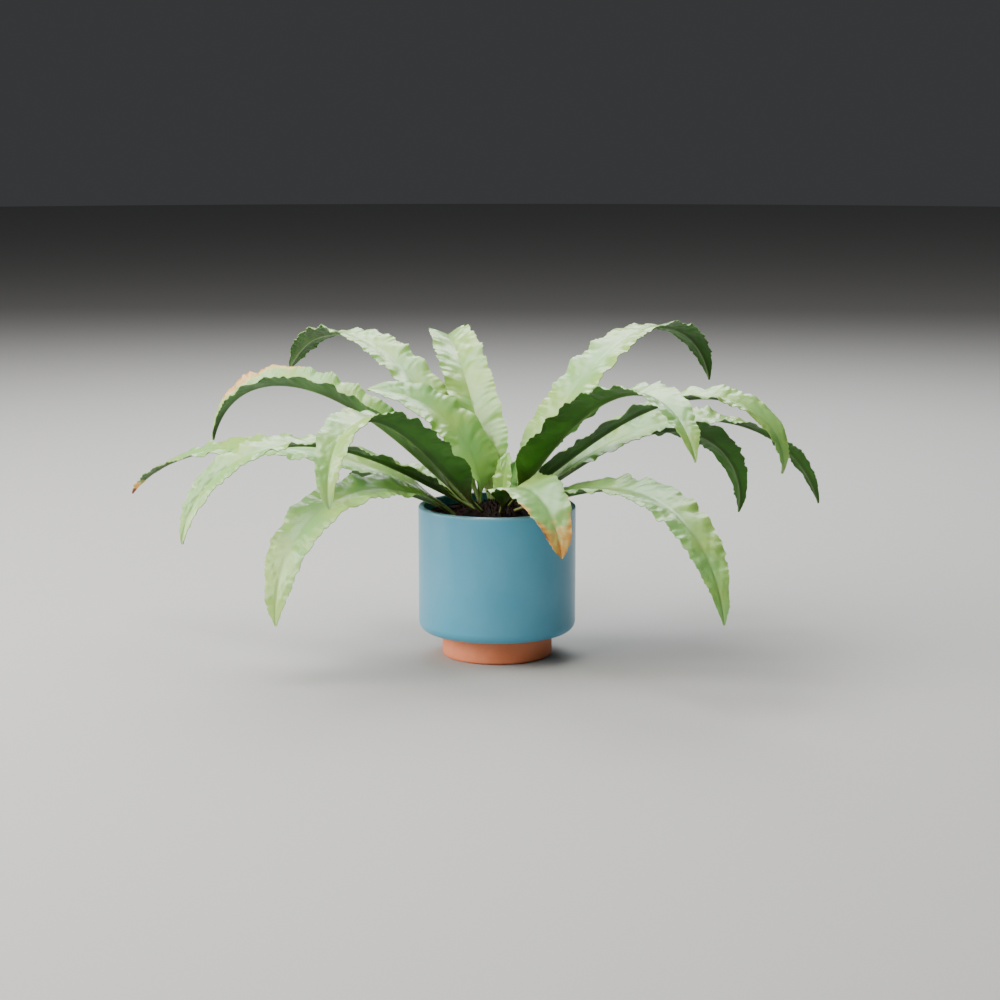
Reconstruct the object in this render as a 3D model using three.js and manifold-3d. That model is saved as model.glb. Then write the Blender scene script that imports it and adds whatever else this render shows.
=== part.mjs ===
// Potted fern: a bird's-nest type fern in a glazed pot that stands in a terracotta saucer.
// Millimetres, +Z up. The origin is the centre of the saucer's underside.
import * as THREE from 'three';
import { mergeVertices } from 'three/addons/utils/BufferGeometryUtils.js';
import Module from 'manifold-3d';

const wasm = await Module();
wasm.setup();

// Driving dimensions
const POT_RADIUS = 70;
const POT_TOP = 135;
const POT_WALL = 5;
const POT_CORNER = 9;
const SAUCER_RADIUS = 49;
const SAUCER_HEIGHT = 22;
const SAUCER_WALL = 4;
const SOIL_TOP = 127;
const CROWN_RADIUS = 30;
const CROWN_HEIGHT = 12;
const CLEARANCE = 0.3;

// Sizes that follow from them
const ROUND_SIDES = 40;
const CROWN_SIDES = 24;
const CROWN_RINGS = 4;
const ARC_STEPS = 4;
const SAUCER_FLOOR = 5;
const SAUCER_CORNER = 3;
const SAUCER_LIP = 1;
const FOOT_OUTER = SAUCER_RADIUS - SAUCER_WALL - 2;
const FOOT_INNER = FOOT_OUTER - 5;
const FOOT_BOTTOM = SAUCER_FLOOR + CLEARANCE;
const FOOT_CHAMFER = 1;
const POT_BASE = SAUCER_HEIGHT + CLEARANCE;
const POT_FLOOR = POT_BASE + 6;
const POT_INNER = POT_RADIUS - POT_WALL;
const POT_INNER_CORNER = 6;
const POT_LIP = 2;
const DRAIN_RADIUS = 7;
const POT_INNER_LIP = 1;
const SOIL_SHOULDER = 2;
const SOIL_DROP = 1;
const SOCKET_RADIUS = 24;
const SOCKET_FLOOR = SOIL_TOP - 16;
const CROWN_BASE = SOIL_TOP + CLEARANCE;
const CROWN_RIM = 1.5;

// Frond section: a stalk with a keel that flattens into a channelled blade
const STALK_HALF_WIDTH = 2.2;
const STALK_CREST = 1.0;
const STALK_DEPTH = 3.2;
const STALK_MARGIN = 1.2;
const SUNK_IN_CROWN = 8;
const SUNK_IN_SOIL = 14;
const BLADE_FROM = 0.03;
const FLAT_FROM = 0.04;
const FLAT_FULL = 0.16;
const HOLE_RADIUS = 2.85;
const HOLE_OVERRUN = 12;
const HOLE_SIDES = 10;
const MARGIN_THICKNESS = 1.0;
const MIDRIB_THICKNESS = 1.8;
const CHANNEL = 2.5;
const CHANNEL_MOST = 50;
const OPEN_SHARE = 0.3;
const TIP_POWER = 4.5;
const ROLLED_SHARE = 0.3;
const TWIST_FROM = 0.45;
const TIP_HALF_WIDTH = 0.7;

// Frond margin: waves that grow from the stalk to the middle and fade at the tip
const WAVE_LENGTH = 27;
const WAVE_HEIGHT = 2.0;
const WAVE_FROM = 0.08;
const WAVE_FULL = 0.35;
const WAVE_OUTWARD = 0.25;
const BEAT_MEAN = 0.8;
const BEAT_SWING = 0.45;
const BEATS = 3.7;
const DRIFT_SWING = 0.14;
const DRIFTS = 2.3;
const STATIONS_PER_WAVE = 4;
const SPINE_STEPS = 6;
const HASH_FROND = 12.9898;
const HASH_USE = 78.233;
const HASH_GAIN = 43758.5453;

// Each frond is rooted on the crown, or in the soil beside it, at the angle seat and the distance
// root from the axis, and leaves it at an azimuth (0 is +X, 90 is away from the front). Along its
// length it turns by sweep, and its slope passes from rise to droop, late where bend is high. A
// positive roll turns its face to its left, twist adds to that towards the tip, and fold is how
// far each half is raised beside the midrib. At the root that is CHANNEL times as much, but no
// more than CHANNEL_MOST. It reaches its full width at the share widest.
const FRONDS = [
  {
    name: 'left_back_low', azimuth: 183, sweep: -62, rise: 46, droop: -33, bend: 0.68,
    length: 396, width: 34, roll: 22, twist: -10, fold: 8, seat: 190, root: 38, widest: 0.2,
  },
  {
    name: 'left_long', azimuth: 197.5, sweep: 16, rise: 31.5, droop: -84, bend: 2.25,
    length: 323, width: 41, roll: 0, twist: 26, fold: 12, seat: 199, root: 22, widest: 0.2,
  },
  {
    name: 'left_arch', azimuth: 176, sweep: -43, rise: 44, droop: -69, bend: 2.1,
    length: 333, width: 44, roll: 0, twist: 54, fold: 44, seat: 182, root: 22, widest: 0.2,
  },
  {
    name: 'left_front', azimuth: 216, sweep: 38, rise: 44, droop: -118, bend: 2.85,
    length: 286, width: 50, roll: 0, twist: 0, fold: 20, seat: 230, root: 22, widest: 0.2,
  },
  {
    name: 'left_front_low', azimuth: 196, sweep: 40, rise: 40, droop: -93.5, bend: 1.12,
    length: 253.5, width: 52, roll: 12, twist: 0, fold: 8, seat: 213, root: 41, widest: 0.28,
  },
  {
    name: 'left_back_high', azimuth: 145.5, sweep: -28, rise: 65, droop: -45, bend: 1.3,
    length: 368, width: 43, roll: 8, twist: -35, fold: 16, seat: 136, root: 20, widest: 0.2,
  },
  {
    name: 'back_tall', azimuth: 117, sweep: -30, rise: 69, droop: -39, bend: 1.25,
    length: 323, width: 48, roll: 4, twist: 0, fold: 24, seat: 108, root: 12, widest: 0.16,
  },
  {
    name: 'left_upright', azimuth: 164, sweep: 8, rise: 96, droop: 0, bend: 0.85,
    length: 160, width: 52, roll: 26, twist: 0, fold: 12, seat: 165, root: 15, widest: 0.2,
  },
  {
    name: 'right_back_high', azimuth: 39, sweep: 9, rise: 54, droop: -76, bend: 2.4,
    length: 351, width: 50, roll: 0, twist: 16, fold: 8, seat: 43, root: 17, widest: 0.2,
  },
  {
    name: 'right_front', azimuth: -38, sweep: -32, rise: 50.5, droop: -59, bend: 2.0,
    length: 315, width: 52, roll: 0, twist: 0, fold: 18, seat: -38, root: 14, widest: 0.2,
  },
  {
    name: 'right_arch', azimuth: -10, sweep: -14, rise: 39, droop: -102, bend: 3.1,
    length: 312, width: 43, roll: 2, twist: -30, fold: 16, seat: -6, root: 12, widest: 0.2,
  },
  {
    name: 'right_back', azimuth: 36, sweep: -4, rise: 25, droop: -104, bend: 2.7,
    length: 319, width: 44, roll: 30, twist: 0, fold: 16, seat: 28, root: 22, widest: 0.2,
  },
  {
    name: 'right_low', azimuth: 8, sweep: 8, rise: 40, droop: -74.5, bend: 1.7,
    length: 335, width: 38, roll: -18, twist: 52, fold: 12, seat: 4, root: 22, widest: 0.2,
  },
  {
    name: 'right_front_low', azimuth: -41, sweep: -24, rise: 21, droop: -79, bend: 1.95,
    length: 316, width: 48, roll: -8, twist: 0, fold: 10, seat: -41, root: 22, widest: 0.2,
  },
  {
    name: 'front_short', azimuth: -68, sweep: 12, rise: 58, droop: -82, bend: 1.0,
    length: 147, width: 48, roll: -13, twist: 0, fold: 14, seat: -80, root: 22, widest: 0.22,
  },
  {
    name: 'back_hidden', azimuth: 100, sweep: -2, rise: 48, droop: -75, bend: 1.6,
    length: 280, width: 40, roll: 0, twist: 0, fold: 20, seat: 106, root: 22, widest: 0.2,
  },
  {
    name: 'back_hidden_left', azimuth: 148, sweep: -16, rise: 24, droop: -40, bend: 1.6,
    length: 170, width: 38, roll: 0, twist: 0, fold: 20, seat: 149, root: 25, widest: 0.2,
  },
  {
    name: 'back_hidden_right', azimuth: 56, sweep: 2, rise: 36, droop: -30, bend: 1.6,
    length: 100, width: 36, roll: 0, twist: 0, fold: 20, seat: 58, root: 22, widest: 0.2,
  },
  {
    name: 'young', azimuth: 55, sweep: 0, rise: 84, droop: 64, bend: 1.5,
    length: 44, width: 18, roll: 0, twist: 0, fold: 20, seat: -50, root: 6, widest: 0.35,
  },
  {
    name: 'young_right', azimuth: 56, sweep: 0, rise: 66, droop: 45, bend: 1.5,
    length: 42, width: 22, roll: 0, twist: 0, fold: 16, seat: 76, root: 22, widest: 0.4,
  },
];

const rad = THREE.MathUtils.degToRad;
const smoothstep = THREE.MathUtils.smoothstep;
const lerp = THREE.MathUtils.lerp;

// Points of a quarter round about (r, z), from one angle to the other, for a turned profile
function arc(r, z, radius, fromDegrees, toDegrees) {
  const points = [];
  for (let i = 0; i <= ARC_STEPS; i++) {
    const angle = rad(lerp(fromDegrees, toDegrees, i / ARC_STEPS));
    points.push(new THREE.Vector2(r + radius * Math.cos(angle), z + radius * Math.sin(angle)));
  }
  return points;
}

function point(r, z) {
  return new THREE.Vector2(r, z);
}

// A turned solid about Z from a profile of (r, z) points that runs anticlockwise
function turned(profile, sides = ROUND_SIDES) {
  const geometry = new THREE.LatheGeometry(profile, sides);
  geometry.rotateX(Math.PI / 2);
  return geometry;
}

function toManifold(geometry) {
  const bare = geometry.clone();
  bare.deleteAttribute('normal');
  bare.deleteAttribute('uv');
  const merged = mergeVertices(bare, 1e-4);
  const mesh = new wasm.Mesh({
    numProp: 3,
    vertProperties: new Float32Array(merged.attributes.position.array),
    triVerts: new Uint32Array(merged.index.array),
  });
  return new wasm.Manifold(mesh);
}

function fromManifold(solid) {
  const mesh = solid.getMesh();
  const geometry = new THREE.BufferGeometry();
  geometry.setAttribute('position', new THREE.BufferAttribute(mesh.vertProperties, 3));
  geometry.setIndex(new THREE.BufferAttribute(mesh.triVerts, 1));
  return geometry;
}

function finish(color, roughness, metalness = 0) {
  return new THREE.MeshStandardMaterial({ color, roughness, metalness });
}

const GLAZE = finish(0x7fadbd, 0.35);
const TERRACOTTA = finish(0xc0724c, 0.7);
const SOIL = finish(0x3b2118, 0.95);
const RHIZOME = finish(0x4a2c1c, 0.9);
const FROND_GREEN = finish(0x9dbb82, 0.4);

function named(name, geometry, material) {
  const mesh = new THREE.Mesh(geometry, material);
  mesh.name = name;
  return mesh;
}

// The pot: floor with a drainage hole, foot ring, rounded lower corner, rounded rim
function pot() {
  const profile = [
    point(DRAIN_RADIUS, POT_BASE),
    point(FOOT_INNER, POT_BASE),
    point(FOOT_INNER, FOOT_BOTTOM),
    point(FOOT_OUTER - FOOT_CHAMFER, FOOT_BOTTOM),
    point(FOOT_OUTER, FOOT_BOTTOM + FOOT_CHAMFER),
    point(FOOT_OUTER, POT_BASE),
    ...arc(POT_RADIUS - POT_CORNER, POT_BASE + POT_CORNER, POT_CORNER, -90, 0),
    ...arc(POT_RADIUS - POT_LIP, POT_TOP - POT_LIP, POT_LIP, 0, 90),
    point(POT_INNER + POT_INNER_LIP, POT_TOP),
    point(POT_INNER, POT_TOP - POT_INNER_LIP),
    point(POT_INNER, POT_FLOOR + POT_INNER_CORNER),
    point(POT_INNER - POT_INNER_CORNER, POT_FLOOR),
    point(DRAIN_RADIUS, POT_FLOOR),
    point(DRAIN_RADIUS, POT_BASE),
  ];
  return named('pot', turned(profile), GLAZE);
}

// The saucer: a dish with a flat underside that the foot ring stands in
function saucer() {
  const profile = [
    point(0, 0),
    ...arc(SAUCER_RADIUS - SAUCER_CORNER, SAUCER_CORNER, SAUCER_CORNER, -90, 0),
    point(SAUCER_RADIUS, SAUCER_HEIGHT - SAUCER_LIP),
    point(SAUCER_RADIUS - SAUCER_LIP, SAUCER_HEIGHT),
    point(SAUCER_RADIUS - SAUCER_WALL, SAUCER_HEIGHT),
    point(SAUCER_RADIUS - SAUCER_WALL, SAUCER_FLOOR),
    point(0, SAUCER_FLOOR),
  ];
  return named('saucer', turned(profile), TERRACOTTA);
}

// The soil fills the pot to just under the rim and has a round socket for the crown
function soil() {
  const radius = POT_INNER - CLEARANCE;
  const bottom = POT_FLOOR + CLEARANCE;
  const profile = [
    point(0, bottom),
    point(radius - POT_INNER_CORNER, bottom),
    point(radius, bottom + POT_INNER_CORNER),
    point(radius, SOIL_TOP - SOIL_DROP),
    point(radius - SOIL_SHOULDER, SOIL_TOP),
    point(SOCKET_RADIUS, SOIL_TOP),
    point(SOCKET_RADIUS, SOCKET_FLOOR),
    point(0, SOCKET_FLOOR),
  ];
  const besideCrown = FRONDS.filter((frond) => !onCrown(frond));
  return named('soil', withRootHoles(toManifold(turned(profile)), besideCrown), SOIL);
}

// Height of the crown's domed top at a distance from its axis
function crownTop(r) {
  return CROWN_BASE + CROWN_HEIGHT * (1 - (r / CROWN_RADIUS) ** 2);
}

// Whether a frond is rooted on the crown, and not beside it in the soil
function onCrown(frond) {
  return frond.root < CROWN_RADIUS;
}

// How far a frond's stalk goes in at its root
function sunk(frond) {
  return onCrown(frond) ? SUNK_IN_CROWN : SUNK_IN_SOIL;
}

// A solid with a plain hole for the root of each frond that stands in it
function withRootHoles(solid, fronds) {
  let bored = solid;
  for (const frond of fronds) {
    const { position, tangent } = spine(frond)[0];
    const depth = sunk(frond) + CLEARANCE;
    const length = depth + HOLE_OVERRUN;
    const hole = new THREE.CylinderGeometry(HOLE_RADIUS, HOLE_RADIUS, length, HOLE_SIDES);
    const turn = new THREE.Quaternion().setFromUnitVectors(new THREE.Vector3(0, 1, 0), tangent);
    const centre = position.clone().addScaledVector(tangent, length / 2 - depth);
    hole.applyQuaternion(turn);
    hole.translate(centre.x, centre.y, centre.z);
    bored = bored.subtract(toManifold(hole));
  }
  return fromManifold(bored);
}

// The crown: a dome on a plug in the soil's socket, with a plain hole for each frond's root
function crown() {
  const plug = SOCKET_RADIUS - CLEARANCE;
  const profile = [
    point(0, SOCKET_FLOOR + CLEARANCE),
    point(plug, SOCKET_FLOOR + CLEARANCE),
    point(plug, CROWN_BASE),
    point(CROWN_RADIUS, CROWN_BASE),
  ];
  for (let i = 0; i <= CROWN_RINGS; i++) {
    const r = (CROWN_RADIUS - CROWN_RIM) * (1 - i / CROWN_RINGS);
    profile.push(point(r, crownTop(r)));
  }
  const solid = toManifold(turned(profile, CROWN_SIDES));
  return named('crown', withRootHoles(solid, FRONDS.filter(onCrown)), RHIZOME);
}

// A repeatable number from 0 to 1 for a frond's place in the list and a use
function chance(frond, use) {
  const value = HASH_GAIN * Math.sin((FRONDS.indexOf(frond) + 1) * HASH_FROND + use * HASH_USE);
  return value - Math.floor(value);
}

// Stations along a frond's midrib, from the crown's surface to the tip
function spine(frond) {
  const count = STATIONS_PER_WAVE * Math.round(frond.length / WAVE_LENGTH);
  const seat = rad(frond.seat);
  const position = new THREE.Vector3(
    frond.root * Math.cos(seat),
    frond.root * Math.sin(seat),
    onCrown(frond) ? crownTop(frond.root) : SOIL_TOP,
  );
  const stations = [];
  for (let i = 0; i <= count; i++) {
    const here = i / count;
    stations.push({ share: here, position: position.clone(), ...frame(frond, here) });
    for (let k = 0; k < SPINE_STEPS; k++) {
      const share = (i + (k + 0.5) / SPINE_STEPS) / count;
      const step = frond.length / count / SPINE_STEPS;
      position.addScaledVector(frame(frond, share).tangent, step);
    }
  }
  return stations;
}

// Directions at a share of the length: along the midrib, to its left, and up from its face
function frame(frond, share) {
  const slope = rad(lerp(frond.rise, frond.droop, share ** frond.bend));
  const heading = rad(frond.azimuth + frond.sweep * share);
  const tangent = new THREE.Vector3(
    Math.cos(slope) * Math.cos(heading),
    Math.cos(slope) * Math.sin(heading),
    Math.sin(slope),
  );
  const left = new THREE.Vector3(-Math.sin(heading), Math.cos(heading), 0);
  const roll = frond.roll * smoothstep(share, 0, ROLLED_SHARE);
  const twist = frond.twist * smoothstep(share, TWIST_FROM, 1);
  left.applyAxisAngle(tangent, -rad(roll + twist));
  const up = new THREE.Vector3().crossVectors(tangent, left);
  return { tangent, left, up };
}

// Half width of the blade at a share of the length
function halfWidth(frond, share) {
  const blade = smoothstep(share, BLADE_FROM, frond.widest) * (1 - share ** TIP_POWER);
  const stalk = lerp(STALK_HALF_WIDTH, TIP_HALF_WIDTH, share);
  return stalk + (frond.width / 2 - STALK_HALF_WIDTH) * blade;
}

// A sine wave over whole turns
function ripple(turns) {
  return Math.sin(2 * Math.PI * turns);
}

// How far a margin is waved up or down at a share of the length; side is 0 left, 1 right
function wave(frond, share, side) {
  const turns = Math.round(frond.length / WAVE_LENGTH);
  const grown = smoothstep(share, WAVE_FROM, WAVE_FULL) * (1 - share ** TIP_POWER);
  const beat = BEAT_MEAN + BEAT_SWING * ripple(BEATS * share + chance(frond, side));
  const drift = DRIFT_SWING * ripple(DRIFTS * share + chance(frond, side + 4));
  const phase = chance(frond, side + 2) + drift;
  return grown * beat * WAVE_HEIGHT * ripple(turns * share + phase);
}

// The six corners of a frond's section: top left, middle, right, then bottom left, middle, right
function section(frond, station) {
  const { share, position, left, up } = station;
  const blade = smoothstep(share, FLAT_FROM, FLAT_FULL);
  const channel = Math.min(CHANNEL * frond.fold, CHANNEL_MOST);
  const fold = rad(lerp(channel, frond.fold, smoothstep(share, 0, OPEN_SHARE)) * blade);
  const crest = STALK_CREST * (1 - blade);
  const keel = lerp(STALK_DEPTH, MIDRIB_THICKNESS, smoothstep(share, 0, 1));
  const margin = lerp(STALK_MARGIN, MARGIN_THICKNESS, blade);
  const half = halfWidth(frond, share);
  const at = (across, height) => position.clone()
    .addScaledVector(left, across)
    .addScaledVector(up, height);
  const edge = (side) => {
    const bump = wave(frond, share, side);
    const out = half * Math.cos(fold) + WAVE_OUTWARD * bump;
    const height = half * Math.sin(fold) + bump;
    const sign = side === 0 ? 1 : -1;
    return { top: at(sign * out, height), bottom: at(sign * out, height - margin) };
  };
  const leftEdge = edge(0);
  const rightEdge = edge(1);
  return [
    leftEdge.top, at(0, crest), rightEdge.top,
    leftEdge.bottom, at(0, crest - keel), rightEdge.bottom,
  ];
}

// One frond: its sections joined by triangles that are split alike on both faces
function frondGeometry(frond) {
  const stations = spine(frond);
  const first = stations[0];
  const rooted = {
    ...first,
    position: first.position.clone().addScaledVector(first.tangent, -sunk(frond)),
  };
  const corners = [rooted, ...stations].map((station) => section(frond, station));
  const positions = corners.flat().flatMap((corner) => corner.toArray());
  const index = [];
  const quad = (a, b, c, d) => index.push(a, b, c, a, c, d);
  for (let i = 0; i + 1 < corners.length; i++) {
    const near = 6 * i;
    const far = near + 6;
    // Top and bottom faces, then the two margins
    quad(near, near + 1, far + 1, far);
    quad(near + 1, near + 2, far + 2, far + 1);
    quad(near + 4, near + 3, far + 3, far + 4);
    quad(near + 5, near + 4, far + 4, far + 5);
    quad(near + 3, near, far, far + 3);
    quad(near + 2, near + 5, far + 5, far + 2);
  }
  const last = 6 * (corners.length - 1);
  quad(3, 4, 1, 0);
  quad(4, 5, 2, 1);
  quad(last, last + 1, last + 4, last + 3);
  quad(last + 1, last + 2, last + 5, last + 4);
  const geometry = new THREE.BufferGeometry();
  geometry.setAttribute('position', new THREE.Float32BufferAttribute(positions, 3));
  geometry.setIndex(index);
  geometry.computeVertexNormals();
  return geometry;
}

const group = new THREE.Group();
group.name = 'potted_fern';
group.add(saucer(), pot(), soil(), crown());
for (const frond of FRONDS) {
  group.add(named(`frond_${frond.name}`, frondGeometry(frond), FROND_GREEN));
}

export default group;
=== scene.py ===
"""Looks of a potted fern: waved strap fronds in a glazed pot that stands in a terracotta saucer.

Every piece replaces the CAD node of the same name and stays where that node is. Metres, +Z up,
-Y towards the camera.
"""

import logging
import math
from dataclasses import dataclass, field
from enum import Enum
from typing import Callable, Iterable

import bpy
import numpy as np
from mathutils import Matrix, Vector


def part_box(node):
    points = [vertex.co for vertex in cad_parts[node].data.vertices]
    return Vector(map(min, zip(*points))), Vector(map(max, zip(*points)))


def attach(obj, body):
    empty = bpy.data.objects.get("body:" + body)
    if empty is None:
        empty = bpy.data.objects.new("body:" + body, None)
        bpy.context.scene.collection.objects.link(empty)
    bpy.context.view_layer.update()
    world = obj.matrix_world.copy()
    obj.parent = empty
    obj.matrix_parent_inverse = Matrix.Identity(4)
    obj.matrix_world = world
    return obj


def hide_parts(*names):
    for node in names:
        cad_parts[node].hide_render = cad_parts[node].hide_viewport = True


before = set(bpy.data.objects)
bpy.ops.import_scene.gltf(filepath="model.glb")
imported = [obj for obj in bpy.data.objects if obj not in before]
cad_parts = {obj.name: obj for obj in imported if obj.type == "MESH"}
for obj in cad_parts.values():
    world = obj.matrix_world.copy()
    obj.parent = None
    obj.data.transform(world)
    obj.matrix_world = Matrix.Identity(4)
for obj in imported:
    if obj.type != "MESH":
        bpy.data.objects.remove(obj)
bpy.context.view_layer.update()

Piece = bpy.types.Object
Node = bpy.types.Node
Socket = bpy.types.NodeSocket
Material = bpy.types.Material
Array = np.ndarray
Draw = np.random.RandomState
Triple = tuple[float, float, float]

log = logging.getLogger("potted_fern")
MM = 0.001
GOLDEN_ANGLE = 2.39996


class Side(Enum):
    """The two margins of a blade, seen along its length; each draws its own waves and teeth."""

    LEFT = 0
    RIGHT = 1


# Colours and shader graphs


def colour(srgb_hex: str) -> tuple[float, float, float, float]:
    """Turns an sRGB hex value into Blender's linear colour.

    Args:
        srgb_hex: six hex digits, such as "7faab9".

    Returns:
        Linear red, green, blue and an alpha of one.
    """
    channels = [int(srgb_hex[i : i + 2], 16) / 255 for i in (0, 2, 4)]
    linear = [c / 12.92 if c <= 0.04045 else ((c + 0.055) / 1.055) ** 2.4 for c in channels]
    return (linear[0], linear[1], linear[2], 1.0)


@dataclass
class Graph:
    """The shader graph of one finish, begun with its shader and the object's own places."""

    name: str

    def __post_init__(self) -> None:
        """Makes the material and finds its shader."""
        self.material = bpy.data.materials.new(self.name)
        self.material.use_nodes = True
        self.tree = self.material.node_tree
        self.shader = self.tree.nodes["Principled BSDF"]
        self.place = self.add("ShaderNodeTexCoord").outputs["Object"]

    def set_inputs(self, node: Node, inputs: dict[str | int, object]) -> None:
        """Gives a node its inputs.

        Args:
            node: the node.
            inputs: a value, or a socket to link from, by input name or number.
        """
        for key, value in inputs.items():
            if isinstance(value, Socket):
                self.tree.links.new(value, node.inputs[key])
            else:
                node.inputs[key].default_value = value

    def add(
        self,
        kind: str,
        settings: dict[str, object] | None = None,
        inputs: dict[str | int, object] | None = None,
    ) -> Node:
        """Adds one node.

        Args:
            kind: the node's type name.
            settings: node properties by name.
            inputs: as for set_inputs.

        Returns:
            The new node.
        """
        node = self.tree.nodes.new(kind)
        for key, value in (settings or {}).items():
            setattr(node, key, value)
        self.set_inputs(node, inputs or {})
        return node

    def step(self, operation: str, *values: Socket | float) -> Socket:
        """Adds one step of arithmetic."""
        inputs = dict(enumerate(values))
        return self.add("ShaderNodeMath", {"operation": operation}, inputs).outputs[0]

    def mix(self, factor: Socket, first: Socket | str, second: Socket | str) -> Socket:
        """Mixes two colours, each a socket or an sRGB hex value, by a factor."""
        tints = [colour(tint) if isinstance(tint, str) else tint for tint in (first, second)]
        inputs = {0: factor, 6: tints[0], 7: tints[1]}
        return self.add("ShaderNodeMix", {"data_type": "RGBA"}, inputs).outputs[2]

    def attribute(self, name: str) -> Socket:
        """Reads one of the mesh's point attributes."""
        return self.add("ShaderNodeAttribute", {"attribute_name": name}).outputs["Fac"]

    def noise(self, grain_mm: float, detail: float = 3.0) -> Socket:
        """Adds a noise whose blotches measure grain_mm."""
        inputs = {"Vector": self.place, "Scale": 1 / (grain_mm * MM), "Detail": detail}
        return self.add("ShaderNodeTexNoise", None, inputs).outputs["Fac"]

    def spread(
        self, value: Socket, low: float, high: float, to_low: float = 0, to_high: float = 1
    ) -> Socket:
        """Maps a value from one range to another and holds it inside that."""
        inputs = {0: value, 1: low, 2: high, 3: to_low, 4: to_high}
        return self.add("ShaderNodeMapRange", {"clamp": True}, inputs).outputs[0]

    def bump(self, height: Socket, depth_mm: float, strength: float) -> Socket:
        """Adds a bump of a real depth and returns its normal."""
        inputs = {"Height": height, "Distance": depth_mm * MM, "Strength": strength}
        return self.add("ShaderNodeBump", None, inputs).outputs[0]

    def finish(self, inputs: dict[str | int, object]) -> Material:
        """Gives the shader its inputs and returns the finished material."""
        self.set_inputs(self.shader, inputs)
        return self.material


# Finishes


@dataclass(frozen=True)
class SatinGlaze:
    """Satin stoneware glaze, dipped: a soft wide highlight, and a paler band on the rim that is
    partly thinner glaze and partly a painted highlight.
    """

    body: str = "54aac9"
    deep: str = "4aa5c5"
    thin_glaze_and_highlight: str = "74b0c3"
    roughness: float = 0.34
    coat: float = 0.2
    coat_roughness: float = 0.22
    blotch_mm: float = 38.0
    orange_peel_mm: float = 3.2
    orange_peel_depth_mm: float = 0.05
    rim_band_mm: float = 1.6

    def build(self, rim_z: float) -> Material:
        """Builds the glaze.

        Args:
            rim_z: the height of the pot's rim, in metres.

        Returns:
            The material.
        """
        graph = Graph("satin_stoneware_glaze")
        blotches = graph.spread(graph.noise(self.blotch_mm), 0.35, 0.65)
        body = graph.mix(blotches, self.body, self.deep)
        height = graph.add("ShaderNodeSeparateXYZ", None, {0: graph.place}).outputs[2]
        # The paler rim band is partly thinner glaze and partly a painted highlight.
        band = self.rim_band_mm * MM
        rim = graph.spread(height, rim_z - 2 * band, rim_z - 0.5 * band)
        peel = graph.noise(self.orange_peel_mm, 1.0)
        return graph.finish({
            "Base Color": graph.mix(rim, body, self.thin_glaze_and_highlight),
            "Normal": graph.bump(peel, self.orange_peel_depth_mm, 0.25),
            "Roughness": self.roughness,
            "Coat Weight": self.coat,
            "Coat Roughness": self.coat_roughness,
        })


@dataclass(frozen=True)
class FiredTerracotta:
    """Unglazed terracotta, thrown and fired: dry and matt, with fine grog and a pale bloom."""

    body: str = "f29064"
    burnt: str = "ea8558"
    bloom: str = "f2a47c"
    roughness: float = 0.68
    blotch_mm: float = 16.0
    grog_mm: float = 0.7
    grog_depth_mm: float = 0.12

    def build(self) -> Material:
        """Builds the fired clay."""
        graph = Graph("fired_terracotta")
        blotches = graph.spread(graph.noise(self.blotch_mm, 5.0), 0.35, 0.65)
        body = graph.mix(blotches, self.body, self.burnt)
        specks = graph.spread(graph.noise(self.grog_mm, 2.0), 0.6, 0.72, 0, 0.55)
        return graph.finish({
            "Base Color": graph.mix(specks, body, self.bloom),
            "Normal": graph.bump(graph.noise(self.grog_mm, 4.0), self.grog_depth_mm, 0.5),
            "Roughness": self.roughness,
        })


@dataclass(frozen=True)
class PottingSoil:
    """Moist peat and bark: dark, crumbly, with red-brown bark and paler dry crumbs."""

    peat: str = "1a0d09"
    bark: str = "451d12"
    dry: str = "4a2a1c"
    roughness: float = 0.92
    gloss: float = 0.2
    crumb_mm: float = 2.4
    grain_mm: float = 1.1
    grain_depth_mm: float = 0.5

    def build(self) -> Material:
        """Builds the soil."""
        graph = Graph("moist_potting_soil")
        patches = graph.spread(graph.noise(4 * self.crumb_mm, 4.0), 0.4, 0.62)
        moist = graph.mix(patches, self.peat, self.bark)
        crumbs = graph.spread(graph.noise(self.crumb_mm), 0.58, 0.7, 0, 0.7)
        return graph.finish({
            "Base Color": graph.mix(crumbs, moist, self.dry),
            "Normal": graph.bump(graph.noise(self.grain_mm, 5.0), self.grain_depth_mm, 0.8),
            "Roughness": self.roughness,
            "Specular IOR Level": self.gloss,
        })


@dataclass(frozen=True)
class RhizomeScale:
    """Dry papery scales on the fern's rhizome: chestnut brown with darker roots, without gloss."""

    scale: str = "24130b"
    dark: str = "0e0705"
    roughness: float = 0.8
    gloss: float = 0.15
    fibre_mm: float = 0.8

    def build(self) -> Material:
        """Builds the scales."""
        graph = Graph("papery_rhizome_scale")
        fibres = graph.spread(graph.noise(self.fibre_mm), 0.4, 0.62)
        return graph.finish({
            "Base Color": graph.mix(fibres, self.dark, self.scale),
            "Roughness": self.roughness,
            "Specular IOR Level": self.gloss,
        })


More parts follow.
